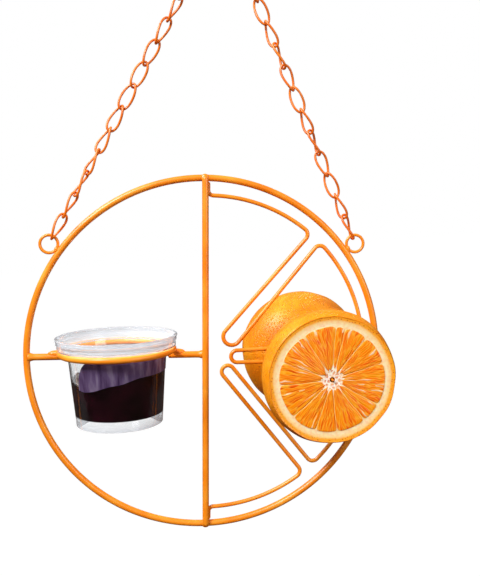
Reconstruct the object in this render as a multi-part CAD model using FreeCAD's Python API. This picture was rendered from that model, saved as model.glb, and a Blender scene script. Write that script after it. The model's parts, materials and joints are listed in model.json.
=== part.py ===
import FreeCAD, Part
import math
import os

# Oriole feeder: a wire ring on two chain legs, with a cup of jelly on the left
# and, on the right, wire shaped like orange slices with a skewer for two orange halves.
# Millimetres, +Z up, +X to the right, -Y to the front. Everything is laid out from the
# ring's centre and moved at the end, so that the origin is where the hook hangs, and all
# but the hook is turned about it until the weight hangs straight below.

Vector = FreeCAD.Vector

# Wire sizes
ring_wire = 3.5
bar_wire = 3.5
slice_wire_size = 2.2
skewer_wire = 2.5
holder_wire = 3.5
eyelet_wire = 1.6
link_wire = 1.3
hook_wire = 3.0

# Ring and centre bar
ring_outer_diameter = 190.5
bar_overrun = 1.0
weld_depth = 1.2

# Slice wire: its outer arcs and corners, and for each gap between two slices the angle
# and sideways offset of the strand on either side, and how far out the hub bend sits
slice_ring_gap = 4.4
slice_arc_shift = 1.85
slice_corner_radius = 3.5
slice_tail_bend = 2.6
slice_tail_gap = 0.2
upper_gap_width = 9.9
upper_hub_distance = 16.3
middle_gap_above = 1.0
middle_gap_below = 4.85
middle_hub_distance = 17.1
lower_gap_width = 6.7
lower_hub_distance = 15.3
slice_gaps = [
    ((48.7, 0.0), (50.7, upper_gap_width), upper_hub_distance),
    ((2.2, -middle_gap_above), (0.0, middle_gap_below), middle_hub_distance),
    ((-51.1, -lower_gap_width), (-51.2, 0.0), lower_hub_distance),
]

# Skewer and the two orange halves
skewer_length = 85.7
skewer_point = 7.0
skewer_tip_radius = 0.25
skewer_to_ring = 33.5
skewer_weld_depth = 0.6
orange_seat_gap = 0.35
orange_bore_clearance = 0.06
orange_dimple_radius = 4.0
skewer_bare_tip = 1.2
front_orange_radius = 34.0
front_orange_half_length = 30.0
rear_orange_radius = 34.5
rear_orange_half_length = 36.0
rear_orange_shift_x = -1.0
rear_orange_shift_z = 1.5

# Cup holder
holder_radius = 29.6
holder_z = 2.8
holder_lean = 1.8
arm_wire = 3.5
arm_weld_depth = 0.6
arm_tuck = 3.0
arm_bar_lap = 1.2

# Cup and jelly
cup_rim_radius = 32.1
cup_band_radius = 31.6
cup_band_height = 6.2
cup_bead_height = 0.9
cup_shoulder_radius = 26.0
cup_base_radius = 22.7
cup_height = 46.5
cup_foot_height = 5.6
cup_wall = 0.7
cup_seat_gap = 0.05
jelly_top_below_rim = 22.5
jelly_gap = 0.05

# Eyelets
eyelet_outer_diameter = 10.8
eyelet_angle = 36.1
eyelet_weld_depth = 0.5

# Chain legs and hook
links_per_leg = 14
link_width = 7.4
link_squareness = 0.85
link_twist = -72.0
left_first_turn = 54.0
left_turn_step = 19.4
right_first_turn = 66.0
right_turn_step = 46.2
contact_gap = 0.45
apex_x = 9.4
apex_above_centre = 225.7
hook_inner_radius = 8.46
hook_tip_angle = 160.0

# Weights in grams for each cubic millimetre, for how the feeder hangs
steel_weight = 0.00785
fruit_weight = 0.0009
jelly_weight = 0.0012
cup_weight = 0.0011

# Facets
wire_sides = 10
thin_wire_sides = 8
link_sides = 6
link_stations = 14
ring_stations = 84
holder_stations = 40
eyelet_stations = 20
bend_step = 15.0
small_bend_step = 22.5
arc_step = 6.0
round_sides = 36
dome_rings = 9
point_radius = 0.02
flat_tolerance = 1e-8

ring_radius = ring_outer_diameter / 2 - ring_wire / 2
ring_inside = ring_radius - ring_wire / 2


# A closed solid through rings of points, its ends joined up or capped
def skin(rings, closed):
    faces = []
    pairs = list(zip(rings, rings[1:]))
    if closed:
        pairs.append((rings[-1], rings[0]))
    for near, far in pairs:
        for i in range(len(near)):
            j = (i + 1) % len(near)
            faces.extend(patch(near[i], near[j], far[j], far[i]))
    if not closed:
        faces.append(Part.Face(Part.makePolygon(rings[0] + [rings[0][0]])))
        faces.append(Part.Face(Part.makePolygon(rings[-1] + [rings[-1][0]])))
    shell = Part.makeShell(faces)
    shell.sewShape()
    solid = Part.Solid(shell.Shells[0])
    if solid.Volume < 0:
        solid.reverse()
    return solid


# One four-cornered facet, or two triangles where the corners don't lie in a plane
def patch(a, b, c, d):
    normal = (b - a).cross(c - a).normalize()
    if abs(normal.dot(d - a)) < flat_tolerance:
        return [Part.Face(Part.makePolygon([a, b, c, d, a]))]
    return [
        Part.Face(Part.makePolygon([a, b, c, a])),
        Part.Face(Part.makePolygon([a, c, d, a])),
    ]


# A regular many-sided ring of points about a centre
def point_ring(centre, across, up, radius, sides):
    ring = []
    for i in range(sides):
        turn = 2 * math.pi * (i + 0.5) / sides
        ring.append(centre + across * (radius * math.cos(turn)) + up * (radius * math.sin(turn)))
    return ring


# A wire along a list of centreline points, with a side direction for each
def tube(points, sides_up, radii, sides, closed):
    rings = []
    count = len(points)
    for i in range(count):
        before = points[i - 1] if closed or i > 0 else points[i]
        after = points[(i + 1) % count] if closed or i < count - 1 else points[i]
        back = points[i] - before
        ahead = after - points[i]
        along = Vector(0, 0, 0)
        for step in (back, ahead):
            if step.Length > 0:
                along = along + step * (1 / step.Length)
        along.normalize()
        up = sides_up[i] - along * sides_up[i].dot(along)
        up.normalize()
        rings.append(point_ring(points[i], along.cross(up), up, radii[i], sides))
    return skin(rings, closed)


# A wire of one size that lies flat in the frame's plane
def flat_wire(points, size, sides, closed):
    front = Vector(0, 1, 0)
    return tube(points, [front] * len(points), [size / 2] * len(points), sides, closed)


# A straight round bar between two points
def rod(start, end, size, sides):
    side = Vector(0, 1, 0) if abs((end - start).y) < 0.5 * (end - start).Length else Vector(0, 0, 1)
    return tube([start, end], [side, side], [size / 2, size / 2], sides, False)


# Points along an arc in the frame's plane, angles in degrees from +X towards +Z
def arc_points(centre, radius, start, end, step):
    count = max(2, math.ceil(abs(end - start) / step))
    points = []
    for i in range(count + 1):
        angle = math.radians(start + (end - start) * i / count)
        points.append(centre + Vector(radius * math.cos(angle), 0, radius * math.sin(angle)))
    return points


def circle_points(centre, radius, count):
    return arc_points(centre, radius, 0, 360, 360 / count)[:-1]


def heading(angle):
    return Vector(math.cos(math.radians(angle)), 0, math.sin(math.radians(angle)))


def right_of(angle):
    return Vector(math.sin(math.radians(angle)), 0, -math.cos(math.radians(angle)))


def angle_of(direction):
    return math.degrees(math.atan2(direction.z, direction.x))


# Ring and centre bar, the bar lapped on the ring's front
def make_outer_ring():
    return flat_wire(circle_points(Vector(0, 0, 0), ring_radius, ring_stations), ring_wire, wire_sides, True)


bar_y = -((ring_wire + bar_wire) / 2 - weld_depth)


def make_centre_bar():
    reach = ring_radius + bar_overrun
    return rod(Vector(0, bar_y, -reach), Vector(0, bar_y, reach), bar_wire, wire_sides)


# Slice wire: one thin wire bent into four slices, from the bar's top to its bottom
slice_arc_centre = Vector(slice_arc_shift, 0, 0)
slice_arc_radius = ring_inside - slice_ring_gap - slice_wire_size / 2 - slice_arc_shift
slice_bar_gap = (slice_wire_size + bar_wire) / 2
slice_tail_x = math.sqrt(slice_bar_gap ** 2 - bar_y ** 2)


# Centre of the corner bend between the outer arc and a strand, on its left or right
def corner_centre(angle, offset, side):
    along = heading(angle)
    base = right_of(angle) * (offset + side * slice_corner_radius) - slice_arc_centre
    reach = slice_arc_radius - slice_corner_radius
    lead = base.dot(along)
    run = -lead + math.sqrt(lead ** 2 - base.dot(base) + reach ** 2)
    return slice_arc_centre + base + along * run


# Centre and radius of the bend at the hub that touches both strands of a gap
def hub_bend(inward, outward, distance):
    angle = (inward[0] + outward[0]) / 2
    lean = right_of(inward[0]) + right_of(outward[0])
    sideways = (inward[1] + outward[1]) / lean.Length
    centre = heading(angle) * distance + right_of(angle) * sideways
    return centre, outward[1] - right_of(outward[0]).dot(centre)


def make_slice_wire():
    tail_x = slice_tail_x + slice_tail_bend
    tail_z = math.sqrt((slice_arc_radius + slice_tail_bend) ** 2 - (tail_x - slice_arc_shift) ** 2)
    top_bend = Vector(tail_x, 0, tail_z)
    bottom_bend = Vector(tail_x, 0, -tail_z)
    top_touch = angle_of(slice_arc_centre - top_bend) + 360
    bottom_touch = angle_of(slice_arc_centre - bottom_bend)
    tail_end = math.sqrt((ring_inside - slice_tail_gap) ** 2 - (slice_tail_x + slice_wire_size / 2) ** 2)
    points = [Vector(slice_tail_x, 0, tail_end)]
    points += arc_points(top_bend, slice_tail_bend, 180, top_touch, small_bend_step)
    reached = angle_of(top_bend - slice_arc_centre)
    for inward, outward, distance in slice_gaps:
        corner = corner_centre(inward[0], inward[1], -1)
        touch = angle_of(corner - slice_arc_centre)
        points += arc_points(slice_arc_centre, slice_arc_radius, reached, touch, arc_step)[1:-1]
        points += arc_points(corner, slice_corner_radius, touch, inward[0] - 90, small_bend_step)
        hub, hub_radius = hub_bend(inward, outward, distance)
        points += arc_points(hub, hub_radius, inward[0] + 90, outward[0] + 270, small_bend_step)
        corner = corner_centre(outward[0], outward[1], 1)
        reached = angle_of(corner - slice_arc_centre)
        points += arc_points(corner, slice_corner_radius, outward[0] + 90, reached, small_bend_step)
    touch = angle_of(bottom_bend - slice_arc_centre)
    points += arc_points(slice_arc_centre, slice_arc_radius, reached, touch, arc_step)[1:-1]
    points += arc_points(bottom_bend, slice_tail_bend, bottom_touch, 180, small_bend_step)
    points.append(Vector(slice_tail_x, 0, -tail_end))
    return flat_wire(points, slice_wire_size, thin_wire_sides, False)


# Skewer: a rod with two points, welded under the lower strand of the middle gap
skewer_x = ring_radius - skewer_to_ring
carrier_angle, carrier_offset = slice_gaps[1][1]
carrier_drop = (slice_wire_size + skewer_wire) / 2 - skewer_weld_depth
carrier_z = skewer_x * math.tan(math.radians(carrier_angle)) - carrier_offset / math.cos(math.radians(carrier_angle))
skewer_axis = Vector(skewer_x, 0, carrier_z - carrier_drop)


def make_skewer():
    half = skewer_length / 2
    shank = half - skewer_point
    points = [skewer_axis + Vector(0, y, 0) for y in (-half, -shank, shank, half)]
    radii = [skewer_tip_radius, skewer_wire / 2, skewer_wire / 2, skewer_tip_radius]
    return tube(points, [Vector(0, 0, 1)] * 4, radii, thin_wire_sides, False)


# Orange half: its peel side at the frame, cut a little past its widest place,
# side -1 for the front half and +1 for the rear one
def make_orange_half(side, radius, half_length, shift):
    apex = slice_wire_size / 2 + orange_seat_gap
    cut = skewer_length / 2 - skewer_bare_tip
    across = Vector(1, 0, 0)
    up = Vector(0, 0, 1)
    bore = skewer_wire / 2 + orange_bore_clearance
    first = math.asin(orange_dimple_radius / radius)
    last = math.acos((apex + half_length - cut) / half_length)
    rings = [point_ring(skewer_axis + Vector(0, side * cut, 0), across, up, bore, round_sides)]
    rings.append(point_ring(skewer_axis + Vector(0, side * apex, 0), across, up, bore, round_sides))
    for i in range(dome_rings + 1):
        turn = first + (last - first) * i / dome_rings
        y = side * (apex + half_length * (1 - math.cos(turn)))
        centre = skewer_axis + shift + Vector(0, y, 0)
        rings.append(point_ring(centre, across, up, radius * math.sin(turn), round_sides))
    return skin(rings, True)


# Cup holder: a ring on two arms, midway between the ring and the bar, leaning a little to the left
holder_x = -ring_radius / 2
holder_centre = Vector(holder_x, 0, holder_z)
arm_z = holder_z - ((holder_wire + arm_wire) / 2 - arm_weld_depth)


def leaned(shape):
    shape.rotate(holder_centre, Vector(0, 1, 0), -holder_lean)
    return shape


def make_cup_ring():
    points = []
    for i in range(holder_stations):
        turn = 2 * math.pi * i / holder_stations
        points.append(holder_centre + Vector(holder_radius * math.cos(turn), holder_radius * math.sin(turn), 0))
    up = [Vector(0, 0, 1)] * holder_stations
    radii = [holder_wire / 2] * holder_stations
    return leaned(tube(points, up, radii, wire_sides, True))


def make_left_arm():
    inner = holder_x - holder_radius + arm_tuck
    return rod(Vector(-ring_radius, 0, arm_z), Vector(inner, 0, arm_z), arm_wire, wire_sides)


def make_right_arm():
    inner = holder_x + holder_radius - arm_tuck
    return rod(Vector(inner, 0, arm_z), Vector(arm_bar_lap, 0, arm_z), arm_wire, wire_sides)


# A solid turned about the cup's own upright axis from an outline of radius and height
def turned(outline, closed):
    rings = []
    for radius, z in outline:
        centre = Vector(holder_x, 0, z)
        rings.append(point_ring(centre, Vector(1, 0, 0), Vector(0, 1, 0), radius, round_sides))
    return leaned(skin(rings, closed))


# Clear cup: tapered wall, raised floor in a foot, and a stepped rim whose shoulder sits on the ring
shoulder_z = holder_z + holder_wire / 2 + cup_seat_gap
rim_z = shoulder_z + cup_band_height
foot_z = rim_z - cup_height
floor_z = foot_z + cup_foot_height
cup_taper = (cup_shoulder_radius - cup_base_radius) / (shoulder_z - foot_z)


def cup_radius(z):
    return cup_base_radius + cup_taper * (z - foot_z)


def make_jelly_cup():
    bead_z = rim_z - cup_bead_height
    outline = [
        (point_radius, floor_z),
        (cup_radius(floor_z) - cup_wall, floor_z),
        (cup_base_radius - cup_wall, foot_z),
        (cup_base_radius, foot_z),
        (cup_shoulder_radius, shoulder_z),
        (cup_band_radius, shoulder_z),
        (cup_band_radius, bead_z),
        (cup_rim_radius, bead_z),
        (cup_rim_radius, rim_z),
        (cup_band_radius - cup_wall, rim_z),
        (cup_band_radius - cup_wall, shoulder_z + cup_wall),
        (cup_shoulder_radius - cup_wall, shoulder_z + cup_wall),
        (cup_radius(floor_z + cup_wall) - cup_wall, floor_z + cup_wall),
        (point_radius, floor_z + cup_wall),
    ]
    return turned(outline, False)


# Jelly: fills the cup's lower part, its top level however much the cup leans
def make_grape_jelly(cup_lean):
    bottom = floor_z + cup_wall + jelly_gap
    top = rim_z - jelly_top_below_rim
    inset = cup_wall + jelly_gap
    slope = math.tan(math.radians(cup_lean))
    rings = []
    for level, tilt in ((bottom, 0), (top, slope)):
        ring = []
        for i in range(round_sides):
            turn = 2 * math.pi * (i + 0.5) / round_sides
            radius = (cup_radius(level) - inset) / (1 - cup_taper * tilt * math.cos(turn))
            across = radius * math.cos(turn)
            ring.append(Vector(holder_x + across, radius * math.sin(turn), level + tilt * across))
        rings.append(ring)
    return leaned(skin(rings, False))


# Eyelets: wire loops welded on the ring's outside, side -1 left and +1 right
eyelet_radius = (eyelet_outer_diameter - eyelet_wire) / 2
eyelet_distance = ring_outer_diameter / 2 + eyelet_outer_diameter / 2 - eyelet_weld_depth


def eyelet_centre(side):
    angle = math.radians(eyelet_angle)
    return Vector(side * eyelet_distance * math.cos(angle), 0, eyelet_distance * math.sin(angle))


def make_eyelet(side):
    points = circle_points(eyelet_centre(side), eyelet_radius, eyelet_stations)
    return flat_wire(points, eyelet_wire, thin_wire_sides, True)


# Chain legs: both run to the middle of the hook's lower bend and meet its wire at one height
apex = Vector(apex_x, 0, apex_above_centre)


def leg_direction(side):
    along = apex - eyelet_centre(side)
    return along * (1 / along.Length)


lower_contact_z = eyelet_centre(-1).z + (eyelet_radius - eyelet_wire / 2) * leg_direction(-1).z
upper_contact_z = apex_above_centre - hook_inner_radius * (leg_direction(-1).z + leg_direction(1).z) / 2


def contact(side, z):
    along = leg_direction(side)
    return apex - along * ((apex_above_centre - z) / along.z)


# One oval link, twisted along its length, from the contact below it to the one above
def make_link(lower, upper, turn):
    along = upper - lower
    along.normalize()
    lower_end = lower - along * ((link_wire + contact_gap) / 2)
    upper_end = upper + along * ((link_wire + contact_gap) / 2)
    middle = (lower_end + upper_end) * 0.5
    half_length = (upper_end - lower_end).Length / 2
    half_width = (link_width - link_wire) / 2
    back = Vector(0, 1, 0)
    right = back.cross(along)
    points = []
    sides_up = []
    for i in range(link_stations):
        u = 2 * math.pi * i / link_stations
        rise = math.copysign(abs(math.sin(u)) ** link_squareness, math.sin(u))
        reach = math.copysign(abs(math.cos(u)) ** link_squareness, math.cos(u))
        swing = math.radians(turn + link_twist * rise / 2)
        spread = right * math.cos(swing) + back * math.sin(swing)
        points.append(middle + along * (half_length * rise) + spread * (half_width * reach))
        sides_up.append(back * math.cos(swing) - right * math.sin(swing))
    radii = [link_wire / 2] * link_stations
    return tube(points, sides_up, radii, link_sides, True)


# S-hook: two bends of one size, the legs in the lower one
hook_radius = hook_inner_radius + hook_wire / 2
hook_centre_x = (contact(-1, upper_contact_z).x + contact(1, upper_contact_z).x) / 2
hook_lower = Vector(hook_centre_x, 0, apex_above_centre)
hook_upper = hook_lower + Vector(0, 0, 2 * hook_radius)
hang_point = hook_upper + Vector(0, 0, hook_inner_radius)


def make_s_hook():
    points = arc_points(hook_lower, hook_radius, hook_tip_angle, 450, bend_step)
    points += arc_points(hook_upper, hook_radius, 270, hook_tip_angle - 180, bend_step)[1:]
    return flat_wire(points, hook_wire, thin_wire_sides, False)


# Every piece that hangs from the hook, with its weight for each cubic millimetre
def hanging_pieces(jelly_lean):
    rear_shift = Vector(rear_orange_shift_x, 0, rear_orange_shift_z)
    front = make_orange_half(-1, front_orange_radius, front_orange_half_length, Vector(0, 0, 0))
    rear = make_orange_half(1, rear_orange_radius, rear_orange_half_length, rear_shift)
    pieces = [
        ("outer_ring", make_outer_ring(), steel_weight),
        ("centre_bar", make_centre_bar(), steel_weight),
        ("slice_wire", make_slice_wire(), steel_weight),
        ("skewer", make_skewer(), steel_weight),
        ("orange_half_front", front, fruit_weight),
        ("orange_half_rear", rear, fruit_weight),
        ("cup_ring", make_cup_ring(), steel_weight),
        ("cup_arm_left", make_left_arm(), steel_weight),
        ("cup_arm_right", make_right_arm(), steel_weight),
        ("jelly_cup", make_jelly_cup(), cup_weight),
        ("grape_jelly", make_grape_jelly(jelly_lean), jelly_weight),
        ("eyelet_left", make_eyelet(-1), steel_weight),
        ("eyelet_right", make_eyelet(1), steel_weight),
    ]
    rise = (upper_contact_z - lower_contact_z) / links_per_leg
    for side, leg, first_turn, turn_step in (
        (-1, "left", left_first_turn, left_turn_step),
        (1, "right", right_first_turn, right_turn_step),
    ):
        for k in range(links_per_leg):
            lower = contact(side, lower_contact_z + rise * k)
            upper = contact(side, lower_contact_z + rise * (k + 1))
            name = "{}_link_{:02d}".format(leg, k + 1)
            pieces.append((name, make_link(lower, upper, first_turn + turn_step * k), steel_weight))
    return pieces


# How far the feeder leans, in degrees, until its weight is straight below the hook's lower bend
def balance(pieces):
    moment = Vector(0, 0, 0)
    for name, shape, density in pieces:
        moment += (shape.CenterOfGravity - hook_lower) * (shape.Volume * density)
    return math.degrees(math.atan2(moment.x, -moment.z))


def save(name, shape):
    shape.translate(hang_point * -1)
    shape.exportStep("parts/" + name + ".step")


hanging_lean = balance(hanging_pieces(0))

os.makedirs("parts", exist_ok=True)
save("s_hook", make_s_hook())
for name, shape, density in hanging_pieces(hanging_lean - holder_lean):
    shape.rotate(hook_lower, Vector(0, 1, 0), hanging_lean)
    save(name, shape)
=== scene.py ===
import bpy
import json
import logging
import random
from collections.abc import Callable, Iterator
from contextlib import contextmanager
from dataclasses import dataclass, field
from enum import Enum
from functools import partial
from math import acos, asin, atan2, ceil, copysign, cos, degrees, exp, hypot, log, pi, radians, sin, sqrt, tan
from mathutils import Matrix, Vector, noise


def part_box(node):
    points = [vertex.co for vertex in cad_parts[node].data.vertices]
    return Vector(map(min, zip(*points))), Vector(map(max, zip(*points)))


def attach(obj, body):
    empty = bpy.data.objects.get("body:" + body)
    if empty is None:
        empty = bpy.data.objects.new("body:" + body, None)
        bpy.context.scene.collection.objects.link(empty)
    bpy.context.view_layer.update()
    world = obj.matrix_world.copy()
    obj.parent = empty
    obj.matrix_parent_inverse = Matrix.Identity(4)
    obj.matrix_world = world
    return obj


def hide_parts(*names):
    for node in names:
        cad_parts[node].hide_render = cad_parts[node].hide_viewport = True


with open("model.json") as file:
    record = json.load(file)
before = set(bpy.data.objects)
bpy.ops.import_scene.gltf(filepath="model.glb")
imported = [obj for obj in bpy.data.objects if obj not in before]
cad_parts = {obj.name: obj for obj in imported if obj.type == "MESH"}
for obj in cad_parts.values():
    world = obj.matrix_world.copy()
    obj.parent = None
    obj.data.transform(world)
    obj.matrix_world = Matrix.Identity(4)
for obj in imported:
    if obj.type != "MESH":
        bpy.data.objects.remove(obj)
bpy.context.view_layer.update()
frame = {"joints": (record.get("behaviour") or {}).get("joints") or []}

logger = logging.getLogger("feeder")
MM = 0.001
MERGE = 1e-6
Piece, Material, Node = bpy.types.Object, bpy.types.Material, bpy.types.Node
Adder = Callable[..., Node]
Stops = tuple[tuple[float, str], ...]
# inputs of the Map Range node, and of the Mix node for numbers and for colours
LOW, HIGH, TO_LOW, TO_HIGH = "From Min", "From Max", "To Min", "To Max"
SHARE, NUMBER_A, NUMBER_B, COLOUR_A, COLOUR_B = 0, 2, 3, 6, 7


def srgb(code: str) -> tuple[float, float, float, float]:
    """Turn an sRGB hex colour into the linear one that the shaders take.

    Args:
        code: The colour as six hex digits.

    Returns:
        The linear colour, opaque.
    """
    parts = [int(code[i:i + 2], 16) / 255 for i in (0, 2, 4)]
    linear = [p / 12.92 if p <= 0.04045 else ((p + 0.055) / 1.055) ** 2.4 for p in parts]
    return (linear[0], linear[1], linear[2], 1.0)


def add(tree: bpy.types.NodeTree, kind: str, values: dict | None = None,
        stops: Stops = (), **settings: object) -> Node:
    """Add one node to a tree.

    Args:
        tree: The material's or world's node tree.
        kind: The node's type without its prefix.
        values: Inputs, each with a number, a hex colour, a socket, or a node whose first output it reads.
        stops: Places and hex colours of a ramp.
        settings: The node's own options.

    Returns:
        The new node.
    """
    made = tree.nodes.new("ShaderNode" + kind)
    for key, value in settings.items():
        setattr(made, key, value)
    for key, value in (values or {}).items():
        if isinstance(value, Node):
            value = next(socket for socket in value.outputs if socket.enabled)
        if isinstance(value, bpy.types.NodeSocket):
            tree.links.new(value, made.inputs[key])
        else:
            made.inputs[key].default_value = srgb(value) if isinstance(value, str) else value
    while stops and len(made.color_ramp.elements) < len(stops):
        made.color_ramp.elements.new(0.5)
    for i, (place, code) in enumerate(stops):
        made.color_ramp.elements[i].position = place
        made.color_ramp.elements[i].color = srgb(code)
    return made


def clamp(share: float) -> float:
    """Keep a share between 0 and 1."""
    return min(1.0, max(0.0, share))


def unevenness(turn: float, height: float, scale: float) -> float:
    """Noise round an axis, at a turn in radians; a larger scale varies faster."""
    return noise.noise(Vector((cos(turn), sin(turn), height)) * scale)


def per_mm(size: float) -> float:
    """Scale of a texture on Object coordinates whose pattern repeats about every size mm."""
    return 1.0 / (size * MM)


@dataclass(frozen=True)
class Finish:
    """A procedural material."""

    name: str

    def shade(self, node: Adder) -> Node:
        """Each finish lays out its own nodes."""
        raise NotImplementedError

    def make(self) -> Material:
        """Build the material.

        Returns:
            The finished material.
        """
        material = bpy.data.materials.new(self.name)
        material.use_nodes = True
        tree = material.node_tree
        tree.nodes.clear()
        add(tree, "OutputMaterial", {"Surface": self.shade(partial(add, tree))})
        return material


@dataclass(frozen=True)
class PowderCoat(Finish):
    """Polyester powder sprayed on steel wire and baked: satin, with the faint ripple it flows out to."""

    name: str = "PowderCoatOrange"
    base: str = "FB8F14"
    thick: str = "F37E08"
    thin: str = "FEA22C"
    ripple_mm: float = 2.2
    cloud_mm: float = 16.0

    def shade(self, node: Adder) -> Node:
        """Lay out the coat.

        Args:
            node: Adds a node.

        Returns:
            The shader.
        """
        place = node("TexCoord").outputs["Object"]
        # the coat is drawn slightly paler where it is thin and deeper where it pooled
        cloud = node("TexNoise", {"Vector": place, "Scale": per_mm(self.cloud_mm), "Detail": 3.0})
        stops = ((0.3, self.thick), (0.5, self.base), (0.72, self.thin))
        # flow ripple, as on any powder coat but drawn coarser, since a millimetre is too fine to show
        ripple = node("TexNoise", {"Vector": place, "Scale": per_mm(self.ripple_mm), "Detail": 2.0})
        return node("BsdfPrincipled", {
            "Base Color": node("ValToRGB", {"Fac": cloud}, stops=stops),
            "Roughness": node("MapRange", {"Value": cloud, TO_LOW: 0.31, TO_HIGH: 0.44}),
            "Normal": node("Bump", {"Height": ripple, "Strength": 0.1, "Distance": 0.1 * MM}),
            "Specular IOR Level": 0.4,
            "Coat Weight": 0.45,
            "Coat Roughness": 0.3,
        })


@dataclass(frozen=True)
class OrangePeel(Finish):
    """Fresh orange peel: waxy, deep orange, dimpled by oil glands about a millimetre apart."""

    name: str = "OrangePeel"
    pore_mm: float = 1.25
    patch_mm: float = 14.0

    def shade(self, node: Adder) -> Node:
        """Lay out the peel.

        Args:
            node: Adds a node.

        Returns:
            The shader.
        """
        place = node("TexCoord").outputs["Object"]
        patch = node("TexNoise", {"Vector": place, "Scale": per_mm(self.patch_mm), "Detail": 4.0})
        colour = node("ValToRGB", {"Fac": patch}, stops=((0.3, "F08404"), (0.5, "F9950C"), (0.7, "FFA822")))
        pore = node("TexVoronoi", {"Vector": place, "Scale": per_mm(self.pore_mm)})
        depth = node("MapRange", {"Value": pore, LOW: 0.05, HIGH: 0.45}, interpolation_type="SMOOTHSTEP")
        # the oil in each gland shows as a slightly darker dot
        dotted = node("Mix", {SHARE: depth, COLOUR_A: "EE820C", COLOUR_B: colour}, data_type="RGBA")
        return node("BsdfPrincipled", {
            "Base Color": dotted,
            "Roughness": 0.33,
            "Normal": node("Bump", {"Height": depth, "Strength": 0.8, "Distance": 0.35 * MM}),
            "Specular IOR Level": 0.45,
            "Subsurface Weight": 0.12,
            "Subsurface Radius": (1.0, 0.4, 0.1),
            "Subsurface Scale": 1.5 * MM,
        })


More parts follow.
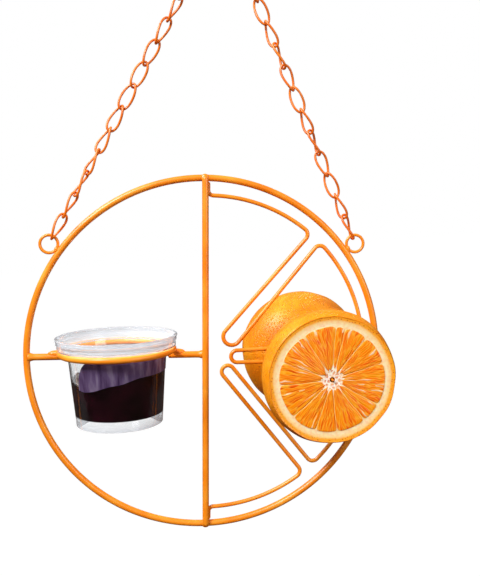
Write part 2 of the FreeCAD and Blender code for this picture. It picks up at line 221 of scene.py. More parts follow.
@dataclass(frozen=True)
class CutOrange(Finish):
    """The cut face: wet juice sacs between pale membranes, a cream pith ring and a thin rim of zest.

    The face's UV map holds the turn and the distance from the core, and its
    attribute depth is how many millimetres a point lies inside its segment.
    """

    name: str = "CutOrangeFlesh"
    sacs_round: float = 155.0
    sacs_out: float = 3.8
    wander_mm: float = 6.0
    # size of the patches in which more sacs carry painted highlights
    glint_patch_mm: float = 26.0
    thread_mm: float = 1.9
    sponge_mm: float = 1.6
    gland_mm: float = 1.1
    grain_mm: float = 1.3
    core_edge: float = 0.12
    zest_edge: float = 0.958
    sac_stops: Stops = ((0.0, "EE5C00"), (0.3, "FB7400"), (0.7, "FF8500"), (1.0, "FF9806"))
    skin_stops: Stops = (
        (0.0, "FFF6EA"), (0.17, "FFEFD6"), (0.23, "FFD27C"), (0.76, "FFCC70"),
        (0.83, "FFDFA6"), (0.87, "FFE6B8"), (0.95, "FFCF78"))

    def flesh(self, node: Adder, place: object, turn: object, out: object) -> tuple[object, object]:
        """Lay out the juice sacs: long drops that point to the core.

        Args:
            node: Adds a node.
            place: The Object coordinates.
            turn: How far round the face, from 0 to 1.
            out: How far from the core, from 0 to 1.

        Returns:
            Their colour and their height.
        """
        wander = node("TexNoise", {"Vector": place, "Scale": per_mm(self.wander_mm)})
        across = node("Math", {0: turn, 1: self.sacs_round}, operation="MULTIPLY")
        across = node("Math", {0: wander, 1: 2.5, 2: across}, operation="MULTIPLY_ADD")
        along = node("Math", {0: out, 1: self.sacs_out}, operation="MULTIPLY")
        plane = {"Vector": node("CombineXYZ", {0: across, 1: along}), "Scale": 1.0}
        sacs = node("TexVoronoi", plane, voronoi_dimensions="2D")
        edges = node("TexVoronoi", plane, voronoi_dimensions="2D", feature="DISTANCE_TO_EDGE")
        shade = node("SeparateColor", {0: sacs.outputs["Color"]})
        colour = node("ValToRGB", {"Fac": shade}, stops=self.sac_stops)
        seam = node("MapRange", {"Value": edges, LOW: 0.0, HIGH: 0.2, TO_LOW: 0.75, TO_HIGH: 0.0})
        colour = node("Mix", {SHARE: seam, COLOUR_A: colour, COLOUR_B: "FFB838"}, data_type="RGBA")
        # painted highlights: pale sac cells stand for glints of light on the wet juice, more of them in some
        # segments than in others
        drift = node("TexNoise", {"Vector": place, "Scale": per_mm(self.glint_patch_mm)})
        limit = node("MapRange", {"Value": drift, LOW: 0.35, HIGH: 0.65, TO_LOW: 0.98, TO_HIGH: 0.85})
        painted_glint = node("Math", {0: shade.outputs[1], 1: limit}, operation="GREATER_THAN")
        middle = node("MapRange", {"Value": edges, LOW: 0.1, HIGH: 0.3})
        painted_glint = node("Math", {0: painted_glint, 1: middle}, operation="MULTIPLY")
        colour = node("Mix", {SHARE: painted_glint, COLOUR_A: colour, COLOUR_B: "FFD6A8"}, data_type="RGBA")
        return colour, node("Math", {0: 1.0, 1: sacs}, operation="SUBTRACT")

    def skin(self, node: Adder, place: object, out: object) -> Node:
        """Lay out the membranes, the core and the pith.

        Args:
            node: Adds a node.
            place: The Object coordinates.
            out: How far from the core, from 0 to 1.

        Returns:
            Their colour.
        """
        colour = node("ValToRGB", {"Fac": out}, stops=self.skin_stops)
        # the core is torn: flecks of juice between white threads
        thread = node("TexVoronoi", {"Vector": place, "Scale": per_mm(self.thread_mm)},
                      feature="DISTANCE_TO_EDGE")
        hole = node("Math", {0: thread, 1: 0.16}, operation="GREATER_THAN")
        core = node("Math", {0: out, 1: self.core_edge}, operation="LESS_THAN")
        core = node("Math", {0: core, 1: 0.75}, operation="MULTIPLY")
        torn = node("Math", {0: hole, 1: core}, operation="MULTIPLY")
        colour = node("Mix", {SHARE: torn, COLOUR_A: colour, COLOUR_B: "DC6A1C"}, data_type="RGBA")
        # the pith is spongy, so its cream is mottled
        sponge = node("TexNoise", {"Vector": place, "Scale": per_mm(self.sponge_mm), "Detail": 4.0})
        mottle = node("MapRange", {"Value": sponge, LOW: 0.45, HIGH: 0.7, TO_LOW: 0.0, TO_HIGH: 0.75})
        return node("Mix", {SHARE: mottle, COLOUR_A: colour, COLOUR_B: "FCC488"}, data_type="RGBA")

    def shade(self, node: Adder) -> Node:
        """Lay out the face.

        Args:
            node: Adds a node.

        Returns:
            The shader.
        """
        coordinates = node("TexCoord")
        place = coordinates.outputs["Object"]
        polar = node("SeparateXYZ", {0: coordinates.outputs["UV"]})
        turn, out = polar.outputs[0], polar.outputs[1]
        depth = node("Attribute", attribute_name="depth").outputs["Fac"]
        inside = node("MapRange", {"Value": depth, LOW: 0.05, HIGH: 0.3}, interpolation_type="SMOOTHSTEP")
        flesh, height = self.flesh(node, place, turn, out)
        skin = self.skin(node, place, out)
        colour = node("Mix", {SHARE: inside, COLOUR_A: skin, COLOUR_B: flesh}, data_type="RGBA")
        # the zest's inner edge is ragged, and its oil glands show as dark dots
        grain = node("TexNoise", {"Vector": place, "Scale": per_mm(self.grain_mm), "Detail": 3.0})
        ragged = node("Math", {0: grain, 1: 0.5}, operation="SUBTRACT")
        edge = node("Math", {0: ragged, 1: 0.03, 2: out}, operation="MULTIPLY_ADD")
        zest = node("MapRange", {"Value": edge, LOW: self.zest_edge - 0.03, HIGH: self.zest_edge + 0.008},
                    interpolation_type="SMOOTHSTEP")
        glands = node("TexVoronoi", {"Vector": place, "Scale": per_mm(self.gland_mm)})
        dots = node("MapRange", {"Value": glands, LOW: 0.2, HIGH: 0.4})
        rind = node("Mix", {SHARE: dots, COLOUR_A: "D8700C", COLOUR_B: "FFA626"}, data_type="RGBA")
        height = node("Math", {0: height, 1: inside}, operation="MULTIPLY")
        return node("BsdfPrincipled", {
            "Base Color": node("Mix", {SHARE: zest, COLOUR_A: colour, COLOUR_B: rind}, data_type="RGBA"),
            "Roughness": node("MapRange", {"Value": inside, TO_LOW: 0.6, TO_HIGH: 0.3}),
            "Normal": node("Bump", {"Height": height, "Strength": 0.7, "Distance": 0.3 * MM}),
            "Specular IOR Level": 0.25,
            "Subsurface Weight": 0.15,
            "Subsurface Radius": (1.0, 0.35, 0.08),
            "Subsurface Scale": 1.2 * MM,
        })


@dataclass(frozen=True)
class ClearCup(Finish):
    """Thermoformed clear plastic: a thin glossy wall with faint draw marks."""

    name: str = "ClearFormedPlastic"
    tint: str = "FAFCFD"
    # the milky tint, whose grey is partly painted shade on the foot
    milky_and_shade: str = "DFE2E6"
    wave_mm: float = 7.0

    def shade(self, node: Adder) -> Node:
        """Lay out the plastic.

        Args:
            node: Adds a node.

        Returns:
            The shader.
        """
        place = node("TexCoord").outputs["Object"]
        # the rim and the foot were drawn least, so they are thicker and slightly milky; the grey of the milky
        # tint is also painted shade on the foot
        milk = node("Attribute", attribute_name="milk").outputs["Fac"]
        # forming draws the sheet down, which leaves long faint waves in the wall
        drawn = node("Mapping", {"Vector": place, "Scale": (1.0, 1.0, 0.25)})
        waves = node("TexNoise", {"Vector": drawn, "Scale": per_mm(self.wave_mm), "Detail": 1.5})
        strength = node("MapRange", {"Value": milk, TO_LOW: 0.12, TO_HIGH: 0.02})
        colour = {SHARE: milk, COLOUR_A: self.tint, COLOUR_B: self.milky_and_shade}
        return node("BsdfPrincipled", {
            "Base Color": node("Mix", colour, data_type="RGBA"),
            "Roughness": node("MapRange", {"Value": waves, TO_LOW: 0.02, TO_HIGH: 0.07}),
            "Normal": node("Bump", {"Height": waves, "Strength": strength, "Distance": 0.3 * MM}),
            "Transmission Weight": node("MapRange", {"Value": milk, TO_LOW: 1.0, TO_HIGH: 0.72}),
            "IOR": 1.49,
        })


@dataclass(frozen=True)
class GrapeJelly(Finish):
    """Grape jelly: set fruit gel, nearly black in bulk, wine red at a thin edge, wet and glossy."""

    name: str = "GrapeJelly"
    bulk: str = "050103"
    thin: str = "1C040C"
    lump_mm: float = 9.0

    def shade(self, node: Adder) -> Node:
        """Lay out the jelly.

        Args:
            node: Adds a node.

        Returns:
            The shader.
        """
        place = node("TexCoord").outputs["Object"]
        lumps = node("TexNoise", {"Vector": place, "Scale": per_mm(self.lump_mm), "Detail": 3.0})
        return node("BsdfPrincipled", {
            "Base Color": node("ValToRGB", {"Fac": lumps}, stops=((0.35, self.bulk), (0.75, self.thin))),
            "Roughness": 0.12,
            "Normal": node("Bump", {"Height": lumps, "Strength": 0.5, "Distance": 0.8 * MM}),
            "Specular IOR Level": 0.2,
        })


@dataclass(frozen=True)
class JellyFilm(Finish):
    """The film of jelly that a spoon leaves on the cup's wall: thin, so violet and see-through."""

    name: str = "GrapeJellyFilm"
    stroke_mm: float = 3.2

    def shade(self, node: Adder) -> Node:
        """Lay out the film.

        Args:
            node: Adds a node.

        Returns:
            The shader.
        """
        place = node("TexCoord").outputs["Object"]
        # the spoon went up the wall, so the smear is drawn out along it
        drawn = node("Mapping", {"Vector": place, "Rotation": (0.0, 0.1, 0.0), "Scale": (1.0, 1.0, 0.16)})
        smear = node("TexNoise", {"Vector": drawn, "Scale": per_mm(self.stroke_mm), "Detail": 4.0})
        clear = node("MapRange", {"Value": smear, LOW: 0.3, HIGH: 0.75, TO_LOW: 0.1, TO_HIGH: 0.5})
        stops = ((0.3, "3C2A4A"), (0.5, "685478"), (0.72, "A090AE"))
        return node("BsdfPrincipled", {
            "Base Color": node("ValToRGB", {"Fac": smear}, stops=stops),
            "Roughness": 0.2,
            "Normal": node("Bump", {"Height": smear, "Strength": 0.5, "Distance": 0.3 * MM}),
            "Transmission Weight": clear,
            "IOR": 1.38,
        })


@dataclass(frozen=True)
class PaleStage(Finish):
    """Matt white paint on the floor, near white to the camera, warm and dim as a light on the part."""

    name: str = "PaleFloor"
    seen: str = "E4E4E2"
    bounce: str = "5A3018"
    glow_share: float = 0.86

    def shade(self, node: Adder) -> Node:
        """Lay out the floor.

        Args:
            node: Adds a node.

        Returns:
            The shader.
        """
        rays = node("LightPath").outputs
        camera = rays["Is Camera Ray"]
        # the light that comes back from the floor is low and warm, so undersides stay a deep orange
        colour = node("Mix", {SHARE: camera, COLOUR_A: self.bounce, COLOUR_B: self.seen}, data_type="RGBA")
        paint = node("BsdfPrincipled", {"Base Color": colour, "Roughness": 0.9})
        glow = node("Emission", {"Color": "FFFFFF", "Strength": 1.12})
        # through clear plastic the floor glows only behind the feeder
        place = node("SeparateXYZ", {0: node("TexCoord").outputs["Object"]})
        behind = {"Value": place.outputs[1], LOW: -0.3, HIGH: 0.4, TO_LOW: 0.05, TO_HIGH: 1.0}
        behind = node("MapRange", behind)
        through = node("Math", {0: rays["Is Transmission Ray"], 1: behind}, operation="MULTIPLY")
        share = node("Mix", {SHARE: camera, NUMBER_A: through, NUMBER_B: 1.0}, data_type="FLOAT")
        share = node("Math", {0: share, 1: self.glow_share}, operation="MULTIPLY")
        return node("MixShader", {0: share, 1: paint, 2: glow})


def pick(*pieces: Piece) -> None:
    """Leave edit mode and select only these pieces.

    Args:
        pieces: What to select, the active one first.
    """
    if bpy.context.object and bpy.context.object.mode != "OBJECT":
        bpy.ops.object.mode_set(mode="OBJECT")
    bpy.ops.object.select_all(action="DESELECT")
    for chosen in pieces:
        chosen.select_set(True)
    if pieces:
        bpy.context.view_layer.objects.active = pieces[0]


@contextmanager
def editing(piece: Piece) -> Iterator[None]:
    """Hold a piece in edit mode with everything selected.

    Args:
        piece: The piece to edit.

    Yields:
        Nothing.
    """
    pick(piece)
    bpy.ops.object.mode_set(mode="EDIT")
    bpy.ops.mesh.select_all(action="SELECT")
    yield
    bpy.ops.object.mode_set(mode="OBJECT")


def started(name: str, operator: Callable[..., set], **sizes: object) -> Piece:
    """Add the plain mesh that a piece is made from.

    Args:
        name: The piece's name.
        operator: Blender's operator for that mesh.
        sizes: The operator's settings.

    Returns:
        The mesh, with its place in its points.
    """
    pick()
    operator(**sizes)
    made = bpy.context.active_object
    made.name = name
    bpy.ops.object.transform_apply(location=True, rotation=True, scale=True)
    return made


def joined(name: str, *pieces: Piece) -> Piece:
    """Join pieces under one name.

    Args:
        name: The name.
        pieces: What to join.

    Returns:
        The joined piece.
    """
    pick(*pieces)
    bpy.ops.object.join()
    pieces[0].name = name
    return pieces[0]


def tidy_normals(piece: Piece) -> None:
    """Merge doubles, which closes the mesh, and turn its faces outwards."""
    with editing(piece):
        bpy.ops.mesh.remove_doubles(threshold=MERGE)
        bpy.ops.mesh.normals_make_consistent(inside=False)


def smooth(piece: Piece, angle: float) -> None:
    """Shade a piece smooth, keeping edges sharper than the angle in degrees."""
    pick(piece)
    bpy.ops.object.shade_smooth_by_angle(angle=radians(angle))


def modify(piece: Piece, kind: str, **settings: object) -> None:
    """Add a modifier and apply it.

    Args:
        piece: The piece to change.
        kind: The modifier's type.
        settings: The modifier's options.
    """
    pick(piece)
    modifier = piece.modifiers.new(kind.title(), kind)
    for key, value in settings.items():
        setattr(modifier, key, value)
    bpy.ops.object.modifier_apply(modifier=modifier.name)


def bent_wire(name: str, path: list[Vector], size: float, closed: bool = False, blunt: bool = True,
              swell: list[float] | None = None, roundness: int = 5) -> Piece:
    """Make a round wire along a path.

    Args:
        name: The piece's name.
        path: Points of its centreline, in millimetres.
        size: Its diameter in millimetres.
        closed: Whether the wire is a closed loop.
        blunt: Whether open ends are rounded off, as a coated cut end is.
        swell: The wire's thickness at each point, as a share of its size.
        roundness: The bevel's resolution.

    Returns:
        The wire as a mesh.
    """
    points = list(zip(path, swell or [1.0] * len(path)))
    for _ in range(2 if blunt and not closed else 0):
        tip = points[-1][0]
        out = (tip - points[-2][0]).normalized()
        points[-1] = (tip - out * (size / 2), 1.0)
        for turn in (pi / 8 * i for i in (1, 2, 3, 4)):
            points.append((tip + out * (size / 2 * (sin(turn) - 1)), max(cos(turn), 0.02)))
        points.reverse()
    shape = bpy.data.curves.new(name, "CURVE")
    shape.dimensions = "3D"
    shape.bevel_depth = size / 2 * MM
    shape.bevel_resolution = roundness
    shape.use_fill_caps = not closed
    spline = shape.splines.new("POLY")
    spline.points.add(len(points) - 1)
    for slot, (place, width) in zip(spline.points, points):
        slot.co = (*(place * MM), 1.0)
        slot.radius = width
    spline.use_cyclic_u = closed
    wire = bpy.data.objects.new(name, shape)
    bpy.context.scene.collection.objects.link(wire)
    pick(wire)
    bpy.ops.object.convert(target="MESH")
    wire = bpy.context.view_layer.objects.active
    wire.name = name
    smooth(wire, 50.0)
    return wire


def hoop(name: str, radius: float, wire: float, steps: int, **place: object) -> Piece:
    """Make a closed ring of round wire.

    Args:
        name: The piece's name.
        radius: Its centreline's radius in millimetres.
        wire: The wire's diameter in millimetres.
        steps: How many steps it has round it.
        place: Its location or rotation.

    Returns:
        The ring.
    """
    made = started(name, bpy.ops.mesh.primitive_torus_add, major_radius=radius * MM,
                   minor_radius=wire / 2 * MM, major_segments=steps, minor_segments=20, **place)
    smooth(made, 80.0)
    return made


def weld_bead(centre: Vector, size: tuple[float, float, float], seed: int) -> Piece:
    """Make the small swollen blob that a weld leaves under the coat.

    Args:
        centre: Its middle, in millimetres.
        size: Its three diameters, in millimetres.
        seed: Which of the uneven shapes to use.

    Returns:
        The bead.
    """
    bead = started("Weld", bpy.ops.mesh.primitive_ico_sphere_add, subdivisions=4, radius=0.5 * MM)
    bead.data.transform(Matrix.Translation(centre * MM) @ Matrix.Diagonal((*size, 1.0)))
    for corner in bead.data.vertices:
        push = noise.noise(corner.co / (1.4 * MM) + Vector((seed, 0.0, 0.0)))
        corner.co += corner.normal * (push * 0.12 * MM)
    smooth(bead, 80.0)
    return bead


def heading(angle: float, length: float = 1.0) -> Vector:
    """Direction at an angle in degrees in the frame's plane, from +X towards +Z."""
    return Vector((length * cos(radians(angle)), 0.0, length * sin(radians(angle))))


def right_of(angle: float) -> Vector:
    """Direction a quarter turn clockwise of an angle in degrees."""
    return Vector((sin(radians(angle)), 0.0, -cos(radians(angle))))


def angle_of(direction: Vector) -> float:
    """Angle in degrees of a direction in the frame's plane."""
    return degrees(atan2(direction.z, direction.x))


def arc(centre: Vector, radius: float, start: float, end: float, step: float) -> list[Vector]:
    """List points along an arc in the frame's plane.

    Args:
        centre: The arc's centre.
        radius: Its radius.
        start: Its first angle in degrees.
        end: Its last angle.
        step: The most degrees between two points.

    Returns:
        The points.
    """
    count = max(2, ceil(abs(end - start) / step))
    return [centre + heading(start + (end - start) * i / count, radius) for i in range(count + 1)]


def dress(piece: Piece, body: str, slot: str, material: Material, *nodes: str) -> None:
    """Give a piece its body and finish, and hide the CAD nodes that it stands for.

    Args:
        piece: The piece.
        body: The body that it moves with.
        slot: Not used.
        material: Its finish.
        nodes: The CAD nodes that it stands for.
    """
    piece.data.materials.clear()
    piece.data.materials.append(material)
    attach(piece, body)
    if nodes:
        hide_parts(*nodes)
    logger.info("%s: %d faces, on %s", piece.name, len(piece.data.polygons), body)


@dataclass
class Hanging:
    """How the feeder hangs: everything is shaped upright about the ring's centre, then leaned and moved."""

    lean: float = 0.0
    centre: Vector = field(default_factory=Vector)

    def measure(self) -> "Hanging":
        """Read the lean and the ring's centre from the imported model.

        Returns:
            This object.
        """
        tilt = next(j for j in frame["joints"] if j["name"] == "frame_tilt")
        self.lean = atan2(tilt["axis"][2], -tilt["axis"][0])
        low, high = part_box("outer_ring")
        self.centre = (low + high) / 2
        return self

    def matrix(self) -> Matrix:
        """Matrix from the upright metres to the model's frame."""
        return Matrix.Translation(self.centre) @ Matrix.Rotation(self.lean, 4, "Y")

    def place(self, piece: Piece, body: str, slot: str, material: Material,
              *nodes: str) -> None:
        """Hang a piece that was shaped upright, and dress it as dress() says."""
        piece.data.transform(self.matrix())
        dress(piece, body, slot, material, *nodes)

    def weldment(self, piece: Piece, coat: Material, node: str) -> None:
        """Hang a coated piece of the welded frame in place of its CAD node."""
        self.place(piece, "frame", "frame_coating", coat, node)


@dataclass
class Ring:
    """The outer ring with the centre bar lapped on its front and the two eyelets welded outside."""

    hang: Hanging
    outer: float = 190.5
    wire: float = 3.5
    sway: float = 0.05
    sway_length: float = 40.0
    bar_wire: float = 3.5
    bar_overrun: float = 1.0
    weld_depth: float = 1.2
    bar_weld: tuple[float, float, float] = (4.6, 2.4, 4.2)
    eyelet_outer: float = 10.8
    eyelet_wire: float = 1.6
    eyelet_angle: float = 36.1
    eyelet_lap: float = 14.0
    eyelet_aside: float = 0.42
    eyelet_inset: float = 0.5
    eyelet_weld: tuple[float, float, float] = (2.6, 2.5, 3.2)

    @property
    def radius(self) -> float:
        """Radius of the ring's centreline."""
        return (self.outer - self.wire) / 2

    @property
    def bar_y(self) -> float:
        """How far in front of the ring's plane the bar lies."""
        return -((self.wire + self.bar_wire) / 2 - self.weld_depth)

    @property
    def eyelet_radius(self) -> float:
        """Radius of an eyelet's centreline."""
        return (self.eyelet_outer - self.eyelet_wire) / 2

    def eyelet_centre(self, side: int) -> Vector:
        """Centre of an eyelet, side -1 left and +1 right."""
        reach = self.outer / 2 + self.eyelet_outer / 2 - self.eyelet_inset
        turn = radians(self.eyelet_angle)
        return Vector((side * reach * cos(turn), 0.0, reach * sin(turn)))

    def eyelet(self, name: str, side: int) -> Piece:
        """Build one eyelet: a turn of thin wire whose ends pass each other at the ring, under a weld.

        Args:
            name: The eyelet's name.
            side: -1 for the left one and +1 for the right.

        Returns:
            The eyelet.
        """
        centre = self.eyelet_centre(side)
        inward = angle_of(centre * -1.0)
        path = []
        steps = 60
        for i in range(steps + 1):
            turn = inward - self.eyelet_lap + (360.0 + 2 * self.eyelet_lap) * i / steps
            # only the last of each end bends aside, so the chain's link stays clear of it
            off = (i / steps - 0.5) * 2.0
            aside = copysign(abs(off) ** 9, off) * self.eyelet_wire * self.eyelet_aside
            path.append(centre + heading(turn) * self.eyelet_radius + Vector((0.0, aside, 0.0)))
        foot = centre + heading(inward) * (self.eyelet_radius + 0.2)
        loop = bent_wire(name, path, self.eyelet_wire)
        return joined(name, loop, weld_bead(foot, self.eyelet_weld, 3 + side))

    def build(self, coat: Material) -> None:
        """Build and hang the ring, bar and eyelets.

        Args:
            coat: The powder coat.
        """
        ring = hoop("RingWire", self.radius, self.wire, 288, rotation=(pi / 2, 0.0, 0.0))
        for corner in ring.data.vertices:
            push = noise.noise(corner.co / (self.sway_length * MM)) * self.sway * MM
            corner.co += corner.normal * min(push, 0.0)
        self.hang.weldment(ring, coat, "outer_ring")
        reach, steps = self.radius + self.bar_overrun, 40
        run = [Vector((0.0, self.bar_y, -reach + 2 * reach * i / steps)) for i in range(steps + 1)]
        bar = bent_wire("CentreBar", run, self.bar_wire, roundness=7)
        welds = [weld_bead(Vector((0.0, self.bar_y / 2, side * self.radius)), self.bar_weld, 7 + side)
                 for side in (-1, 1)]
        self.hang.weldment(joined("CentreBar", bar, *welds), coat, "centre_bar")
        for side, name, node in ((-1, "EyeletLeft", "eyelet_left"), (1, "EyeletRight", "eyelet_right")):
            self.hang.weldment(self.eyelet(name, side), coat, node)


@dataclass
class SliceWire:
    """One thin wire bent into four orange slices, and the skewer welded under its middle strand."""

    ring: Ring
    wire: float = 2.2
    ring_gap: float = 4.4
    shift: float = 1.85
    corner_radius: float = 3.5
    tail_bend: float = 2.6
    tail_gap: float = 0.2
    # angle and shift of the strand that comes in and of the one that goes out, and the bend's distance
    gaps: tuple[tuple[tuple[float, float], tuple[float, float], float], ...] = (
        ((48.7, 0.0), (50.7, 9.9), 16.3),
        ((2.2, -1.0), (0.0, 4.85), 17.1),
        ((-51.1, -6.7), (-51.2, 0.0), 15.3),
    )
    skewer_wire: float = 2.5
    skewer_length: float = 85.7
    skewer_point: float = 7.0
    skewer_to_ring: float = 33.5
    skewer_sunk: float = 0.6
    skewer_weld: tuple[float, float, float] = (3.4, 2.9, 1.9)

    @property
    def inside(self) -> float:
        """The ring's inside radius."""
        return self.ring.radius - self.ring.wire / 2

    @property
    def arc_radius(self) -> float:
        """Radius of the slices' outer arcs."""
        return self.inside - self.ring_gap - self.wire / 2 - self.shift

    @property
    def arc_centre(self) -> Vector:
        """Centre of the slices' outer arcs."""
        return Vector((self.shift, 0.0, 0.0))

    def corner_centre(self, angle: float, offset: float, side: int) -> Vector:
        """Find the bend between an outer arc and a strand.

        Args:
            angle: The strand's angle in degrees.
            offset: How far it is shifted sideways.
            side: On which side of the strand the bend lies.

        Returns:
            The bend's centre.
        """
        along = heading(angle)
        base = right_of(angle) * (offset + side * self.corner_radius) - self.arc_centre
        reach = self.arc_radius - self.corner_radius
        lead = base.dot(along)
        return self.arc_centre + base + along * (sqrt(lead ** 2 - base.dot(base) + reach ** 2) - lead)

    def hub_bend(self, inward: tuple[float, float], outward: tuple[float, float],
                 distance: float) -> tuple[Vector, float]:
        """Find the bend that joins two strands near the bar.

        Args:
            inward: Angle and shift of the strand that comes in.
            outward: Angle and shift of the strand that goes out.
            distance: How far out the bend's centre is.

        Returns:
            The bend's centre and radius.
        """
        angle = (inward[0] + outward[0]) / 2
        spread = right_of(inward[0]) + right_of(outward[0])
        sideways = (inward[1] + outward[1]) / spread.length
        centre = heading(angle) * distance + right_of(angle) * sideways
        return centre, outward[1] - right_of(outward[0]).dot(centre)

    def path(self) -> list[Vector]:
        """Lay out the wire's centreline.

        Returns:
            Its points, from the bar's top to its bottom.
        """
        middle, radius = self.arc_centre, self.arc_radius
        tail_x = sqrt(((self.wire + self.ring.bar_wire) / 2) ** 2 - self.ring.bar_y ** 2)
        bend_x = tail_x + self.tail_bend
        bend_z = sqrt((radius + self.tail_bend) ** 2 - (bend_x - self.shift) ** 2)
        top, bottom = Vector((bend_x, 0.0, bend_z)), Vector((bend_x, 0.0, -bend_z))
        end = sqrt((self.inside - self.tail_gap) ** 2 - (tail_x + self.wire / 2) ** 2)
        points = [Vector((tail_x, 0.0, end))]
        points += arc(top, self.tail_bend, 180, angle_of(middle - top) + 360, 9)
        reached = angle_of(top - middle)
        for inward, outward, distance in self.gaps:
            corner = self.corner_centre(*inward, -1)
            touch = angle_of(corner - middle)
            points += arc(middle, radius, reached, touch, 2)[1:-1]
            points += arc(corner, self.corner_radius, touch, inward[0] - 90, 9)
            hub, hub_radius = self.hub_bend(inward, outward, distance)
            points += arc(hub, hub_radius, inward[0] + 90, outward[0] + 270, 9)
            corner = self.corner_centre(*outward, 1)
            reached = angle_of(corner - middle)
            points += arc(corner, self.corner_radius, outward[0] + 90, reached, 9)
        points += arc(middle, radius, reached, angle_of(bottom - middle), 2)[1:-1]
        points += arc(bottom, self.tail_bend, angle_of(middle - bottom), 180, 9)
        return points + [Vector((tail_x, 0.0, -end))]

    @property
    def skewer_axis(self) -> Vector:
        """Where the skewer crosses the frame's plane."""
        drop = (self.wire + self.skewer_wire) / 2 - self.skewer_sunk
        return Vector((self.ring.radius - self.skewer_to_ring, 0.0, -self.gaps[1][1][1] - drop))

    def skewer(self) -> Piece:
        """Build the skewer from a rod whose ends are drawn out to points.

        Returns:
            The skewer.
        """
        half, shank = self.skewer_length / 2, self.skewer_length / 2 - self.skewer_point
        ends = ((half, 0.06), (half - 0.15, 0.2), (half - 0.5, 0.3), (shank + 3.0, 0.66), (shank + 1.0, 0.92),
                (shank, 1.0))
        widths = [(-y, width) for y, width in ends] + [(0.0, 1.0)] + list(reversed(ends))
        path = [self.skewer_axis + Vector((0.0, y, 0.0)) for y, _ in widths]
        swell = [width for _, width in widths]
        rod = bent_wire("Skewer", path, self.skewer_wire, blunt=False, swell=swell, roundness=6)
        top = self.skewer_axis + Vector((0.0, 0.0, self.skewer_wire / 2))
        return joined("Skewer", rod, weld_bead(top, self.skewer_weld, 11))

    def build(self, coat: Material) -> None:
        """Build and hang the slice wire and the skewer.

        Args:
            coat: The powder coat.
        """
        wire = bent_wire("SliceWire", self.path(), self.wire)
        self.ring.hang.weldment(wire, coat, "slice_wire")
        self.ring.hang.weldment(self.skewer(), coat, "skewer")


@dataclass
class CupHolder:
    """The ring that carries the cup, on an arm to the outer ring and an arm to the bar."""

    ring: Ring
    wire: float = 3.5
    arm_wire: float = 3.5
    radius: float = 29.6
    z: float = 2.8
    lean: float = 1.8
    arm_sunk: float = 0.6
    arm_tuck: float = 3.0
    arm_lap: float = 1.2
    weld_swell: float = 0.3
    weld_run: float = 1.1
    web_out: float = 1.9
    web_lift: float = 0.42
    web: tuple[float, float, float] = (9.0, 3.5, 3.8)

    @property
    def centre(self) -> Vector:
        """Centre of the cup's ring."""
        return Vector((-self.ring.radius / 2, 0.0, self.z))

    def tip(self, piece: Piece) -> Piece:
        """Lean a piece to the left with the holder.

        Args:
            piece: The piece, in metres.

        Returns:
            The same piece.
        """
        pivot = Matrix.Translation(self.centre * MM)
        piece.data.transform(pivot @ Matrix.Rotation(radians(-self.lean), 4, "Y") @ pivot.inverted())
        return piece

    def arm(self, name: str, outer: float, inner: float, web_x: float) -> Piece:
        """Build one arm, thicker at its weld to the ring or bar, with a web where it meets the cup's ring.

        Args:
            name: The arm's name.
            outer: Where it begins, on the ring or the bar.
            inner: Where it ends, under the cup's ring.
            web_x: The middle of its web.

        Returns:
            The arm.
        """
        z = self.z - ((self.wire + self.arm_wire) / 2 - self.arm_sunk)
        weld_x = outer if outer < 0 else 0.0
        run, swell, steps = [], [], 30
        for i in range(steps + 1):
            x = outer + (inner - outer) * i / steps
            near = max(abs(x - weld_x) - self.ring.wire / 2, 0.0)
            run.append(Vector((x, 0.0, z)))
            swell.append(1.0 + self.weld_swell * exp(-(near / self.weld_run) ** 2))
        rod = bent_wire(name, run, self.arm_wire, swell=swell, roundness=7)
        middle = Vector((web_x, 0.0, z + self.arm_wire * self.web_lift))
        return joined(name, rod, weld_bead(middle, self.web, 17))

    def build(self, coat: Material) -> None:
        """Build and hang the cup's ring and its arms.

        Args:
            coat: The powder coat.
        """
        hang = self.ring.hang
        loop = hoop("CupRing", self.radius, self.wire, 144, location=self.centre * MM)
        hang.weldment(self.tip(loop), coat, "cup_ring")
        left, right = self.centre.x - self.radius, self.centre.x + self.radius
        arm = self.arm("ArmLeft", -self.ring.radius, left + self.arm_tuck, left - self.web_out)
        hang.weldment(arm, coat, "cup_arm_left")
        arm = self.arm("ArmRight", self.arm_lap, right - self.arm_tuck, right + self.web_out)
        hang.weldment(arm, coat, "cup_arm_right")


